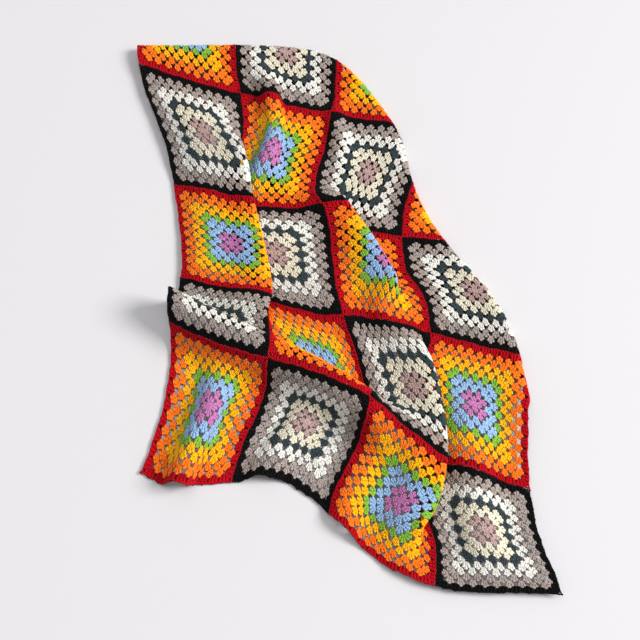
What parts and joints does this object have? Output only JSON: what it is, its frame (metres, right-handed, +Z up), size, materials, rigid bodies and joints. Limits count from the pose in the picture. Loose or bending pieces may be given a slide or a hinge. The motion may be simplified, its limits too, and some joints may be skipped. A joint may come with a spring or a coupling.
{
  "type": "granny square blanket",
  "caption": "Crocheted granny square throw in bright and neutral squares, lying in folds with its top edge and corner turned under.",
  "frame": {"origin": "middle of the laid blanket's box, on the surface that it lies on", "axes": "+Y along the blanket from its hem to the turned-under top, +X across it, +Z up from the surface"},
  "size_m": [1.0965, 1.3498, 0.1032],
  "materials": {
    "bright_yarn": "matt wool-blend yarn in crocheted rounds of orchid, blue, green, yellow, orange and red",
    "neutral_yarn": "matt wool-blend yarn in crocheted rounds of rose taupe, cream, charcoal, off-white, warm grey and black"
  },
  "bodies": {
    "root": {"granny_square_row1_column1": "bright_yarn", "granny_square_row1_column2": "neutral_yarn", "granny_square_row1_column3": "bright_yarn", "granny_square_row1_column4": "neutral_yarn", "granny_square_row2_column1": "neutral_yarn", "granny_square_row2_column2": "bright_yarn", "granny_square_row2_column3": "neutral_yarn", "granny_square_row2_column4": "bright_yarn", "granny_square_row3_column1": "bright_yarn", "granny_square_row3_column2": "neutral_yarn", "granny_square_row3_column3": "bright_yarn", "granny_square_row3_column4": "neutral_yarn", "granny_square_row4_column1": "neutral_yarn", "granny_square_row4_column2": "bright_yarn", "granny_square_row4_column3": "neutral_yarn", "granny_square_row4_column4": "bright_yarn", "granny_square_row5_column1": "bright_yarn", "granny_square_row5_column2": "neutral_yarn", "granny_square_row5_column3": "bright_yarn", "granny_square_row5_column4": "neutral_yarn"}
  },
  "joints": []
}
